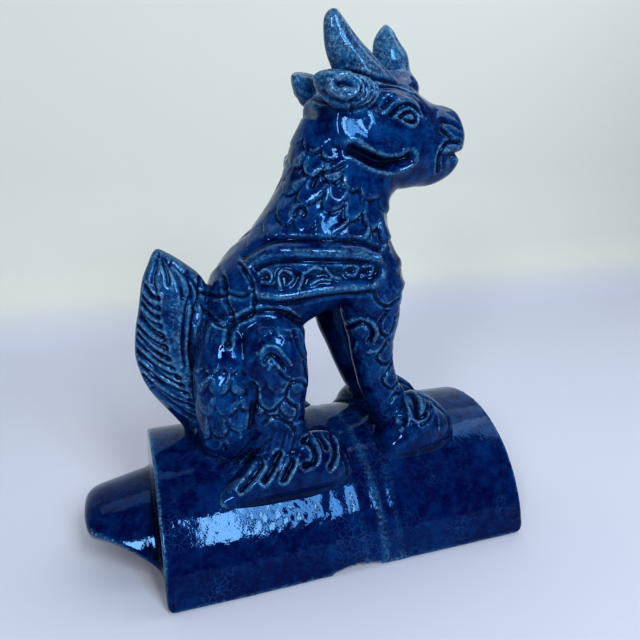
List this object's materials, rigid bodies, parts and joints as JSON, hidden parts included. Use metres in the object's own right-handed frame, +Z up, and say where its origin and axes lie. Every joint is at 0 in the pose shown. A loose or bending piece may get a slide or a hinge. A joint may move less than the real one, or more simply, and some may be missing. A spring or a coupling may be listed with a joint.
{
  "type": "ridge beast ornament",
  "caption": "Seated horned beast with a leaf-shaped tail, in one piece with a half-round roof tile that has a tapered tongue at its rear end.",
  "frame": {"origin": "middle of the part's bounding box in X and Y, at the height of the surface that the tile's two long edges stand on", "axes": "+X along the tile, from the tongue towards the beast's face; +Z up; -Y is the side seen in the picture"},
  "size_m": [0.2269, 0.125, 0.2717],
  "materials": {
    "glazed_ceramic": "gloss"
  },
  "bodies": {
    "root": {"ridge_beast": "glazed_ceramic"}
  },
  "joints": []
}
